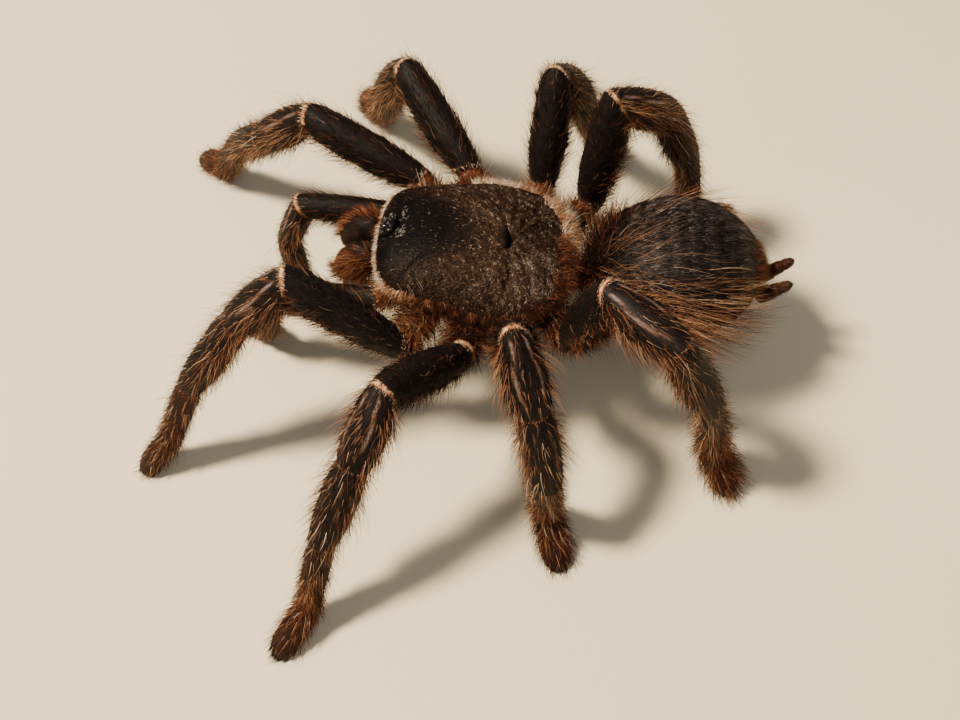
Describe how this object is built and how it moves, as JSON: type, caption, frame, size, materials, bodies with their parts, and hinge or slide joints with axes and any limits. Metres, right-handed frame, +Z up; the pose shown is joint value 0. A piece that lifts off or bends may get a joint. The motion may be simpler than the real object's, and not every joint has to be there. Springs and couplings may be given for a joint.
{
  "type": "tarantula",
  "caption": "Life-size tarantula standing on eight bent hairy legs, palps and jaws lowered, with a domed shield, egg-shaped abdomen and long spinnerets.",
  "frame": {"origin": "on the floor under the middle of the animal's box", "axes": "+Z up, head towards -Y, the animal's own left side towards +X"},
  "size_m": [0.1334, 0.1262, 0.0567],
  "materials": {
    "leg_coat": "dense short brown-black hair",
    "abdomen_coat": "velvet of fine dark hair",
    "jaw_coat": "brown fuzz",
    "carapace_shell": "dark cuticle with a thin flat nap",
    "spinneret_cuticle": "dark red-brown, finely haired",
    "fang_horn": "polished black horn",
    "eye_lens": "wet-looking black lens"
  },
  "bodies": {
    "root": {"leg_left_1_femur": "leg_coat", "leg_left_1_patella": "leg_coat", "leg_left_1_tibia": "leg_coat", "leg_left_1_foot": "leg_coat", "leg_left_2_femur": "leg_coat", "leg_left_2_patella": "leg_coat", "leg_left_2_tibia": "leg_coat", "leg_left_2_foot": "leg_coat", "leg_left_3_femur": "leg_coat", "leg_left_3_patella": "leg_coat", "leg_left_3_tibia": "leg_coat", "leg_left_3_foot": "leg_coat", "leg_left_4_femur": "leg_coat", "leg_left_4_patella": "leg_coat", "leg_left_4_tibia": "leg_coat", "leg_left_4_foot": "leg_coat", "leg_right_1_femur": "leg_coat", "leg_right_1_patella": "leg_coat", "leg_right_1_tibia": "leg_coat", "leg_right_1_foot": "leg_coat", "leg_right_2_femur": "leg_coat", "leg_right_2_patella": "leg_coat", "leg_right_2_tibia": "leg_coat", "leg_right_2_foot": "leg_coat", "leg_right_3_femur": "leg_coat", "leg_right_3_patella": "leg_coat", "leg_right_3_tibia": "leg_coat", "leg_right_3_foot": "leg_coat", "leg_right_4_femur": "leg_coat", "leg_right_4_patella": "leg_coat", "leg_right_4_tibia": "leg_coat", "leg_right_4_foot": "leg_coat", "palp_left_femur": "leg_coat", "palp_left_patella": "leg_coat", "palp_left_tibia": "leg_coat", "palp_left_tarsus": "leg_coat", "palp_right_femur": "leg_coat", "palp_right_patella": "leg_coat", "palp_right_tibia": "leg_coat", "palp_right_tarsus": "leg_coat", "abdomen": "abdomen_coat", "breastplate_and_coxae": "leg_coat", "carapace": "carapace_shell", "eye_mound": "carapace_shell", "pedicel": "leg_coat", "chelicera_left": "jaw_coat", "fang_left": "fang_horn", "spinneret_left": "spinneret_cuticle", "eye_front_middle_left": "eye_lens", "eye_front_side_left": "eye_lens", "eye_rear_side_left": "eye_lens", "eye_rear_middle_left": "eye_lens", "chelicera_right": "jaw_coat", "fang_right": "fang_horn", "spinneret_right": "spinneret_cuticle", "eye_front_middle_right": "eye_lens", "eye_front_side_right": "eye_lens", "eye_rear_side_right": "eye_lens", "eye_rear_middle_right": "eye_lens"}
  },
  "joints": []
}
